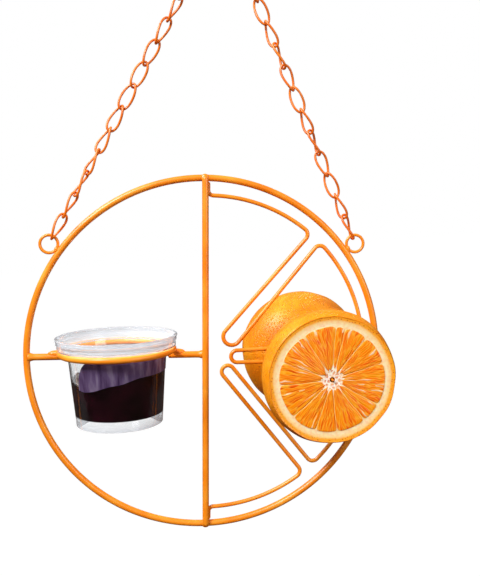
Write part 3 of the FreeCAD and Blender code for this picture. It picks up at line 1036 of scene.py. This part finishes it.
@dataclass
class Cup:
    """The clear portion cup with a stepped rim, a tapered wall and a raised floor, and the jelly in it."""

    holder: CupHolder
    rim_radius: float = 32.1
    band_radius: float = 31.6
    band_height: float = 6.2
    bead_height: float = 0.9
    shoulder_radius: float = 26.0
    base_radius: float = 22.7
    height: float = 46.5
    foot_height: float = 5.6
    wall: float = 0.7
    lip: float = 0.25
    lip_round: float = 0.3
    seat_gap: float = 0.05
    stack_step: float = 0.55
    stack_height: float = 2.6
    wetting: float = 0.58
    jelly_below_rim: float = 22.5
    # how far a spoon left the jelly above or below its level, across the cup from -1 to 1
    dug: tuple[tuple[float, float], ...] = ((-1.0, 2.2), (-0.66, -1.0), (0.0, 2.0), (0.5, 4.2), (1.0, 4.0))
    # size and height of the lumps on top
    lumps: tuple[tuple[float, float], ...] = ((8.0, 1.1), (3.5, 0.3))
    film_turns: tuple[float, float] = (-141.0, 24.0)
    film_overlap: float = 1.2
    film_rise: float = 12.8
    film_corner: float = 0.16
    film_thickness: float = 0.35

    @property
    def shoulder_z(self) -> float:
        """Height of the shoulder that rests on the ring."""
        return self.holder.z + self.holder.wire / 2 + self.seat_gap

    @property
    def rim_z(self) -> float:
        """Height of the rim."""
        return self.shoulder_z + self.band_height

    @property
    def foot_z(self) -> float:
        """Height of the foot's lower edge."""
        return self.rim_z - self.height

    @property
    def floor_z(self) -> float:
        """Height of the floor's underside."""
        return self.foot_z + self.foot_height

    @property
    def jelly_z(self) -> float:
        """Height of the jelly's level at the cup's axis."""
        return self.rim_z - self.jelly_below_rim

    @property
    def inset(self) -> float:
        """How far inside the cup's outside the jelly ends, a little into the wall that it wets."""
        return self.wall - self.wetting

    @property
    def slope(self) -> float:
        """How much what is level rises across the leaning cup."""
        return tan(self.holder.ring.hang.lean - radians(self.holder.lean))

    def wall_radius(self, z: float) -> float:
        """Outside radius of the tapered wall at a height."""
        share = (z - self.foot_z) / (self.shoulder_z - self.foot_z)
        return self.base_radius + (self.shoulder_radius - self.base_radius) * share

    def spun(self, name: str, outline: list[tuple[float, float]], steps: int) -> Piece:
        """Trace an outline with extrudes and spin it about the cup's axis.

        Args:
            name: The piece's name.
            outline: Radius and height of each point, in millimetres.
            steps: How many steps one turn has.

        Returns:
            The spun piece, not yet leaned.
        """
        axis = Vector((self.holder.centre.x, 0.0, 0.0))
        spots = [Vector((axis.x + r, 0.0, z)) * MM for r, z in outline]
        piece = started(name, bpy.ops.mesh.primitive_plane_add, size=2 * MM)
        with editing(piece):
            bpy.ops.mesh.merge(type="CENTER")
            bpy.ops.transform.translate(value=spots[0])
            for before, after in zip(spots, spots[1:]):
                bpy.ops.mesh.extrude_region_move(TRANSFORM_OT_translate={"value": after - before})
            bpy.ops.mesh.select_all(action="SELECT")
            bpy.ops.mesh.spin(steps=steps, angle=2 * pi, center=axis * MM, axis=(0.0, 0.0, 1.0))
        tidy_normals(piece)
        return piece

    def cup(self) -> Piece:
        """Build the cup.

        Returns:
            The cup, leaned with its holder.
        """
        bead_z = self.rim_z - self.bead_height
        step, step_z, w = self.stack_step, self.shoulder_z + self.stack_height, self.wall
        shoulder, band, rim, lip = self.shoulder_radius, self.band_radius, self.rim_radius, self.lip
        outline = [
            # under the floor, round the foot's edge and up the wall to the shoulder
            (0.0, self.floor_z), (self.wall_radius(self.floor_z) - w, self.floor_z),
            (self.base_radius - w, self.foot_z), (self.base_radius, self.foot_z),
            (self.wall_radius(self.floor_z), self.floor_z), (shoulder, self.shoulder_z),
            # the stacking step, the band and the rim's bead
            (band - step, self.shoulder_z), (band - step, step_z), (band, step_z + step), (band, bead_z),
            (rim, bead_z), (rim, self.rim_z - lip), (rim - self.lip_round, self.rim_z),
            # over the rim and back down the inside
            (band - w - lip, self.rim_z), (band - w - lip, bead_z - 0.2), (band - w, bead_z - 0.7),
            (band - w, step_z + step), (band - w - step, step_z), (band - w - step, self.shoulder_z + w),
            (shoulder - w, self.shoulder_z + w),
            (self.wall_radius(self.floor_z + w) - w, self.floor_z + w), (0.0, self.floor_z + w),
        ]
        cup = self.spun("ClearCup", outline, 128)
        modify(cup, "BEVEL", width=0.3 * MM, segments=3, limit_method="ANGLE", angle_limit=radians(35))
        smooth(cup, 60.0)
        heights = [corner.co.z / MM for corner in cup.data.vertices]
        # the rim and the foot get the milky tint, whose grey on the foot is painted shade
        milk = [clamp(max((z - self.shoulder_z) / 1.5, self.floor_z - z)) for z in heights]
        cup.data.attributes.new("milk", "FLOAT", "POINT").data.foreach_set("value", milk)
        # clear plastic lets the lamps through to the jelly
        cup.visible_shadow = False
        return self.holder.tip(cup)

    def dug_height(self, across: float) -> float:
        """Work out how far a spoon left the jelly above or below its level.

        Args:
            across: Where across the cup, from -1 at the left to 1 at the right.

        Returns:
            The height in millimetres.
        """
        for (start, low), (end, high) in zip(self.dug, self.dug[1:]):
            if across <= end:
                share = clamp((across - start) / (end - start))
                return low + (high - low) * share * share * (3.0 - 2.0 * share)
        return self.dug[-1][1]

    def jelly(self) -> Piece:
        """Build the jelly: level over all, but dug and lumpy on top.

        Returns:
            The jelly, leaned with its holder.
        """
        bottom, top, rows, rings = self.floor_z + self.inset, self.jelly_z, 10, 14
        heights = [bottom + (top - bottom) * i / rows for i in range(rows + 1)]
        outline = [(0.0, bottom)] + [(self.wall_radius(z) - self.inset, z) for z in heights]
        edge = self.wall_radius(top) - self.inset
        outline += [(edge * (1 - i / rings), top) for i in range(1, rings + 1)]
        jelly = self.spun("GrapeJelly", outline, 96)
        for corner in jelly.data.vertices:
            x, y, z = corner.co / MM
            across = x - self.holder.centre.x
            share = max(0.0, (z - bottom) / (top - bottom))
            lift = self.slope * across + self.dug_height(across / edge)
            if share > 0.999:
                lift += sum(noise.noise(Vector((x, y, 5.0 * i)) / size) * high
                            for i, (size, high) in enumerate(self.lumps))
            radius, grow = hypot(across, y), 1.0
            if radius > 0.99 * (self.wall_radius(z) - self.inset):
                grow = (self.wall_radius(z + lift * share) - self.inset) / radius
            corner.co = Vector((self.holder.centre.x + across * grow, y * grow, z + lift * share)) * MM
        tidy_normals(jelly)
        smooth(jelly, 50.0)
        return self.holder.tip(jelly)

    def film(self) -> Piece:
        """Build the smear of jelly on the near wall above the jelly.

        Returns:
            The film, leaned with its holder.
        """
        film = started("JellyFilm", bpy.ops.mesh.primitive_grid_add, x_subdivisions=144, y_subdivisions=14,
                       size=1.0)
        start, end = self.film_turns
        for corner in film.data.vertices:
            share, up = corner.co.x + 0.5, corner.co.y + 0.5
            turn = radians(start + (end - start) * share)
            across = cos(turn)
            level = self.jelly_z + self.slope * self.wall_radius(self.jelly_z) * across
            foot = level - self.film_overlap + self.dug_height(across)
            ragged = unevenness(turn, 0.3, 2.6) * 0.8
            head = min(self.shoulder_z - 0.9, self.jelly_z + self.film_rise + ragged)
            # the upper left corner is rounded off
            corner_off = max(0.0, (self.film_corner - share) / self.film_corner) ** 2.4
            z = foot + up * max(0.4, (head - foot) * max(0.0, 1.0 - corner_off) ** 0.5)
            radius = self.wall_radius(z) - self.inset + 0.04
            corner.co = Vector((self.holder.centre.x + radius * cos(turn), radius * sin(turn), z)) * MM
        tidy_normals(film)
        modify(film, "SOLIDIFY", thickness=self.film_thickness * MM, offset=1.0)
        smooth(film, 60.0)
        return self.holder.tip(film)

    def build(self, plastic: Material, gel: Material, smear: Material) -> None:
        """Build and hang the cup and its jelly.

        Args:
            plastic: The cup's finish.
            gel: The jelly's finish.
            smear: The film's finish.
        """
        hang = self.holder.ring.hang
        hang.place(self.cup(), "frame", "clear_cup", plastic, "jelly_cup")
        hang.place(self.jelly(), "frame", "grape_jelly", gel, "grape_jelly")
        hang.place(self.film(), "frame", "grape_jelly", smear)


class Side(Enum):
    """Which side of the frame an orange half is on, as the sign of its Y."""

    FRONT = -1
    REAR = 1


@dataclass
class OrangeHalf:
    """Half an orange pushed on the skewer: its peel towards the frame, its cut face outwards."""

    wire: SliceWire
    side: Side
    radius: float
    half_length: float
    shift: Vector
    seat_gap: float = 0.35
    bare_tip: float = 1.2
    bore_clearance: float = 0.06
    # radii between which the fruit's own middle takes over from the skewer
    plug: tuple[float, float] = (1.4, 4.0)
    # depth and width of the dimple where the skewer goes in
    dimple: tuple[float, float] = (0.9, 4.0)
    # how far in from the peel's edge and behind the cut each row is that tucks under the face
    tuck: tuple[tuple[float, float], ...] = ((0.35, 0.08), (1.0, 0.25), (1.9, 1.5))
    # angles of the membranes, as read from the photograph
    membranes: tuple[float, ...] = (
        18.0, 51.0, 76.0, 87.5, 123.7, 160.6, 185.5, 224.0, 252.0, 275.4, 308.5, 331.0)
    membrane: float = 0.08
    corner: float = 0.85
    core: float = 0.145
    core_wave: float = 0.45
    flesh_edge: float = 0.83
    # how uneven the peel and its cut edge are, as shares of the radius
    bulge: float = 0.012
    wave: float = 0.014
    # how far the face lies behind the cut, its segments swell, its core sinks and its rim turns up
    sunk: float = 0.5
    rise: float = 0.28
    dish: float = 0.25
    brim: float = 0.36
    brim_share: float = 0.14

    @property
    def apex(self) -> float:
        """How far from the frame's plane the peel begins."""
        return self.wire.wire / 2 + self.seat_gap

    @property
    def cut(self) -> float:
        """How far from the frame's plane the cut face is."""
        return self.wire.skewer_length / 2 - self.bare_tip

    @property
    def bore(self) -> float:
        """Radius of the hole that the skewer leaves."""
        return self.wire.skewer_wire / 2 + self.bore_clearance

    @property
    def last(self) -> float:
        """Angle from the apex to the cut, in radians."""
        return acos((self.apex + self.half_length - self.cut) / self.half_length)

    @property
    def rim(self) -> float:
        """Radius of the cut face."""
        return self.radius * sin(self.last)

    def put(self, corner: bpy.types.MeshVertex, turn: float, radius: float, y: float, centre: Vector) -> None:
        """Move a point to a turn in radians, a radius and a depth about a centre."""
        corner.co = Vector((centre.x + radius * cos(turn), self.side.value * y,
                            centre.z + radius * sin(turn))) * MM

    def peel(self, name: str) -> Piece:
        """Build the peel and the bore from a grid wrapped round the skewer.

        Args:
            name: The peel's name.

        Returns:
            The peel, closed behind the cut face.
        """
        first, rows = asin(self.bore / self.radius), 72
        deep, wide = self.dimple
        profile = [(self.bore, self.cut - self.tuck[-1][1])]
        for i in range(rows + 1):
            turn = first + (self.last - first) * i / rows
            radius = self.radius * sin(turn)
            y = self.apex + self.half_length * (1 - cos(turn)) + deep * exp(-(radius / wide) ** 2)
            profile.append((radius, y))
        edge_r, edge_y = profile[-1]
        profile[-1] = (edge_r - 0.12, edge_y - 0.02)
        profile += [(edge_r - inward, self.cut - behind) for inward, behind in self.tuck]
        profile.append(profile[0])
        peel = started(name, bpy.ops.mesh.primitive_grid_add, x_subdivisions=160,
                       y_subdivisions=len(profile) - 1, size=1.0)
        for corner in peel.data.vertices:
            turn = (corner.co.x + 0.5) * 2 * pi
            row = round((corner.co.y + 0.5) * (len(profile) - 1))
            radius, y = profile[row]
            share = min(1.0, row / rows)
            swell = 1.0
            if 1 < row < rows:
                swell += self.bulge * (unevenness(turn, y / 12.0, 1.3) - 0.35) * sin(pi * share)
            if row > 1:
                swell += self.rim_wave(turn) * share ** 3
            self.put(corner, turn, radius * swell, y, self.middle(radius))
        tidy_normals(peel)
        smooth(peel, 60.0)
        return peel

    def rim_wave(self, turn: float) -> float:
        """How uneven the cut edge is at an angle in radians, as a share of its radius."""
        return self.wave * (unevenness(turn, 4.0, 3.2) - 0.2)

    def middle(self, radius: float) -> Vector:
        """Centre of the half at a radius: the bore is on the skewer and the fruit may be off it."""
        inner, outer = self.plug
        return self.wire.skewer_axis + self.shift * clamp((radius - inner) / (outer - inner))

    def face(self, name: str) -> Piece:
        """Build the cut face as a fine round sheet with raised segments, and store how deep each point lies.

        Args:
            name: The face's name.

        Returns:
            The face.
        """
        outer = self.rim - self.sunk
        rng = random.Random(5 if self.side is Side.FRONT else 9)
        lines = list(self.membranes)
        if self.side is Side.REAR:
            lines = [(200.0 - a + rng.uniform(-4.0, 4.0)) % 360 for a in lines]
        face = started(name, bpy.ops.mesh.primitive_grid_add, x_subdivisions=480, y_subdivisions=96, size=1.0)
        depths = []
        for corner in face.data.vertices:
            angle, out = (corner.co.x + 0.5) * 360.0, corner.co.y + 0.5
            turn = radians(angle)
            radius = self.bore + (outer - self.bore) * out
            radius *= 1.0 + self.rim_wave(turn) * out ** 4
            depth = self.depth_in_segment(angle, radius, lines)
            depths.append(depth)
            rise = self.rise * (1 - exp(-max(0.0, depth) / 0.5))
            dish = self.dish * exp(-(radius / (self.core * self.rim)) ** 4)
            brim = self.brim * max(0.0, (radius / outer - 1 + self.brim_share) / self.brim_share) ** 1.5
            self.put(corner, turn, radius, self.cut - self.sunk + rise - dish + brim, self.middle(radius))
        face.data.attributes.new("depth", "FLOAT", "POINT").data.foreach_set("value", depths)
        with editing(face):
            bpy.ops.mesh.remove_doubles(threshold=MERGE)
        if face.data.polygons[len(face.data.polygons) // 2].normal.y * self.side.value < 0:
            with editing(face):
                bpy.ops.mesh.flip_normals()
        smooth(face, 60.0)
        return face

    def depth_in_segment(self, angle: float, radius: float, lines: list[float]) -> float:
        """Say how far inside its segment a point of the cut face is.

        Args:
            angle: The point's angle in degrees.
            radius: Its distance from the core in millimetres.
            lines: The membranes' angles.

        Returns:
            The depth in millimetres, negative in a membrane, the pith or the core.
        """
        wobble = unevenness(radians(angle), radius / 30.0, 3.0)
        nearest = 1e9
        for line in lines:
            apart = radians((angle - line + 180 + 1.6 * wobble) % 360 - 180)
            if abs(apart) < pi / 2:
                nearest = min(nearest, radius * abs(sin(apart)))
        outer = self.flesh_edge * self.rim + 0.5 * wobble - radius
        inner = radius - self.core * self.rim * (1.0 + self.core_wave * unevenness(radians(angle), 0.0, 5.5))
        # a soft minimum rounds the segment's corners
        walls = sum(exp(-wall / self.corner) for wall in (nearest - self.membrane, outer, inner))
        return 0.12 - self.corner * log(walls)

    def build(self, rind: Material, flesh: Material) -> None:
        """Build and hang the half.

        Args:
            rind: The peel's finish.
            flesh: The cut face's finish.
        """
        hang, side = self.wire.ring.hang, self.side.name
        body = "orange_" + side.lower()
        peel = self.peel("Orange" + side.title() + "Peel")
        face = self.face("Orange" + side.title() + "CutFace")
        hang.place(peel, body, "orange_fruit", rind, "orange_half_" + side.lower())
        hang.place(face, body, "orange_fruit", flesh)


@dataclass
class Chain:
    """Two legs of twisted oval links, up to one S-hook."""

    ring: Ring
    links: int = 14
    wire: float = 1.3
    width: float = 7.4
    squareness: float = 0.85
    twist: float = -72.0
    first_turns: tuple[float, float] = (54.0, 66.0)
    turn_steps: tuple[float, float] = (19.4, 46.2)
    slack: float = 0.25
    cut_width: float = 0.86
    apex: Vector = field(default_factory=lambda: Vector((9.4, 0.0, 225.7)))
    hook_wire: float = 3.0
    hook_inner: float = 8.46
    hook_tip: float = 160.0

    def direction(self, side: int) -> Vector:
        """Direction of a leg from its eyelet to the hook."""
        return (self.apex - self.ring.eyelet_centre(side)).normalized()

    @property
    def lowest(self) -> float:
        """Height where the lowest links meet the eyelets."""
        inner = self.ring.eyelet_radius - self.ring.eyelet_wire / 2
        return self.ring.eyelet_centre(-1).z + inner * self.direction(-1).z

    @property
    def highest(self) -> float:
        """Height where the top links meet the hook."""
        return self.apex.z - self.hook_inner * (self.direction(-1).z + self.direction(1).z) / 2

    def contact(self, side: int, z: float) -> Vector:
        """Point of a leg at a height."""
        along = self.direction(side)
        return self.apex - along * ((self.apex.z - z) / along.z)

    def link(self, name: str, lower: Vector, upper: Vector, turn: float) -> Piece:
        """Build one link: a loop of wire twisted along its length, with the cut where its ends meet.

        Args:
            name: The link's name.
            lower: Where it meets the link below.
            upper: Where it meets the link above.
            turn: How far it is turned about its length, in degrees.

        Returns:
            The link.
        """
        along = (upper - lower).normalized()
        middle = (lower + upper) / 2
        half = (upper - lower).length / 2 + self.wire / 2 + self.slack
        half_width = (self.width - self.wire) / 2
        back = Vector((0.0, 1.0, 0.0))
        right = back.cross(along)
        path, swell, stations = [], [], 56
        for i in range(stations):
            u = 2 * pi * i / stations
            rise = copysign(abs(sin(u)) ** self.squareness, sin(u))
            reach = copysign(abs(cos(u)) ** self.squareness, cos(u))
            swing = radians(turn + self.twist * rise / 2)
            spread = right * cos(swing) + back * sin(swing)
            path.append(middle + along * (half * rise) + spread * (half_width * reach))
            swell.append(self.cut_width if i == 3 else 1.0)
        return bent_wire(name, path, self.wire, closed=True, swell=swell, roundness=3)

    def build(self, coat: Material, hook_coat: Material) -> None:
        """Build and hang the links and the hook.

        Args:
            coat: The links' powder coat.
            hook_coat: The hook's powder coat.
        """
        pitch = (self.highest - self.lowest) / self.links
        for side, leg, first, step in zip((-1, 1), ("left", "right"), self.first_turns, self.turn_steps):
            for k in range(self.links):
                lower, upper = (self.contact(side, self.lowest + pitch * n) for n in (k, k + 1))
                made = self.link("{}Link{:02d}".format(leg.title(), k + 1), lower, upper, first + step * k)
                self.ring.hang.place(made, "level_{:02d}".format(k + 1), "chain_coating", coat,
                                     "{}_link_{:02d}".format(leg, k + 1))
        radius = self.hook_inner + self.hook_wire / 2
        upper = Vector((0.0, 0.0, -self.hook_inner))
        path = arc(upper - Vector((0.0, 0.0, 2 * radius)), radius, self.hook_tip, 450, 5)
        path += arc(upper, radius, 270, self.hook_tip - 180, 5)[1:]
        hook = bent_wire("SHook", path, self.hook_wire, roundness=7)
        dress(hook, "hook", "hook_coating", hook_coat, "s_hook")


@dataclass
class Studio:
    """The white room: floor, soft lights and the camera."""

    hang: Hanging
    floor_z: float = -1.15
    floor_size: float = 30.0
    lens: float = 49.86
    target: Vector = field(default_factory=lambda: Vector((18.61, 0.0, 35.34)))
    azimuth: float = -6.59
    elevation: float = 5.52
    roll: float = 0.18
    distance: float = 426.0
    # name, place from the ring's centre, size in metres, watts, and whether gloss mirrors it
    lamps: tuple[tuple[str, tuple[float, float, float], float, float, bool], ...] = (
        ("KeyLight", (-0.6, -0.75, 0.95), 0.5, 21.5, True),
        ("FillLight", (0.9, -1.0, 0.2), 0.7, 5.4, True),
        ("RimLight", (-0.75, 0.2, 1.0), 0.6, 8.0, True),
        ("BackLight", (0.5, 1.2, 0.8), 0.6, 8.0, False),
    )
    # share of the world's light that gloss mirrors
    gloss_share: float = 0.45

    def camera(self) -> None:
        """Add the camera where the photograph was taken from."""
        a, e, turn = (radians(v) for v in (self.azimuth, self.elevation, self.roll))
        back = Vector((sin(a) * cos(e), -cos(a) * cos(e), sin(e)))
        right = Vector((cos(a), sin(a), 0.0))
        up = back.cross(right)
        side = right * cos(turn) + up * sin(turn)
        top = up * cos(turn) - right * sin(turn)
        pose = Matrix((side, top, back)).transposed().to_4x4()
        pose.translation = (self.target + back * self.distance) * MM
        data = bpy.data.cameras.new("Camera")
        data.lens = self.lens
        data.clip_start, data.clip_end = 0.02, 50.0
        camera = bpy.data.objects.new("Camera", data)
        bpy.context.scene.collection.objects.link(camera)
        camera.matrix_world = self.hang.matrix() @ pose
        bpy.context.scene.camera = camera

    def light(self) -> None:
        """Add the soft lamps, which all point at the ring."""
        for name, place, size, power, glossy in self.lamps:
            data = bpy.data.lights.new(name, "AREA")
            data.shape = "DISK"
            data.size = size
            data.energy = power
            made = bpy.data.objects.new(name, data)
            bpy.context.scene.collection.objects.link(made)
            made.location = self.hang.centre + Vector(place)
            made.rotation_mode = "QUATERNION"
            made.rotation_quaternion = Vector(place).to_track_quat("Z", "Y")
            made.visible_glossy = glossy

    def world(self) -> None:
        """Set the world: white to the camera, and a soft light from above for the rest."""
        world = bpy.data.worlds.new("World")
        bpy.context.scene.world = world
        world.use_nodes = True
        world.node_tree.nodes.clear()
        node = partial(add, world.node_tree)
        rays = node("LightPath").outputs
        way = node("SeparateXYZ", {0: node("TexCoord").outputs["Generated"]}).outputs
        # clear plastic shows the white backdrop behind it, gloss only the dim room about it
        through = node("MapRange", {"Value": way[1], LOW: -0.1, HIGH: 0.3, TO_LOW: 0.3, TO_HIGH: 1.0})
        above = node("MapRange", {"Value": way[2], LOW: -0.15, HIGH: 0.75, TO_LOW: 0.05, TO_HIGH: 0.46})
        dim = node("Math", {0: above, 1: self.gloss_share}, operation="MULTIPLY")
        power = above
        for ray, seen in (("Is Glossy Ray", dim), ("Is Transmission Ray", through), ("Is Camera Ray", 1.0)):
            power = node("Mix", {SHARE: rays[ray], NUMBER_A: power, NUMBER_B: seen}, data_type="FLOAT")
        light = node("Background", {"Color": "FFFFFF", "Strength": power})
        node("OutputWorld", {"Surface": light})

    def build(self) -> None:
        """Set up the room, its lights and the camera."""
        self.camera()
        self.world()
        floor = started("Floor", bpy.ops.mesh.primitive_grid_add, x_subdivisions=8, y_subdivisions=8,
                        size=self.floor_size, location=(0.0, 0.0, self.floor_z))
        floor.data.materials.append(PaleStage().make())
        self.light()
        bpy.context.scene.view_settings.view_transform = "Standard"


def main() -> None:
    """Build the feeder and its room."""
    logging.basicConfig(level=logging.INFO, format="%(name)s: %(message)s")
    hang = Hanging().measure()
    logger.info("lean %.3f degrees, ring centre %s", degrees(hang.lean), tuple(hang.centre))
    Studio(hang).build()
    coat = PowderCoat().make()
    chain_coat = PowderCoat(name="PowderCoatChain", base="F07816", thick="E2690C", thin="F6892A").make()
    rind, flesh = OrangePeel().make(), CutOrange().make()
    ring = Ring(hang)
    ring.build(coat)
    wire = SliceWire(ring)
    wire.build(coat)
    holder = CupHolder(ring)
    holder.build(coat)
    Cup(holder).build(ClearCup().make(), GrapeJelly().make(), JellyFilm().make())
    OrangeHalf(wire, Side.FRONT, 34.0, 30.0, Vector((0.0, 0.0, 0.0))).build(rind, flesh)
    OrangeHalf(wire, Side.REAR, 34.5, 36.0, Vector((-1.0, 0.0, 1.5))).build(rind, flesh)
    Chain(ring).build(chain_coat, coat)


if __name__ == "__main__":
    main()
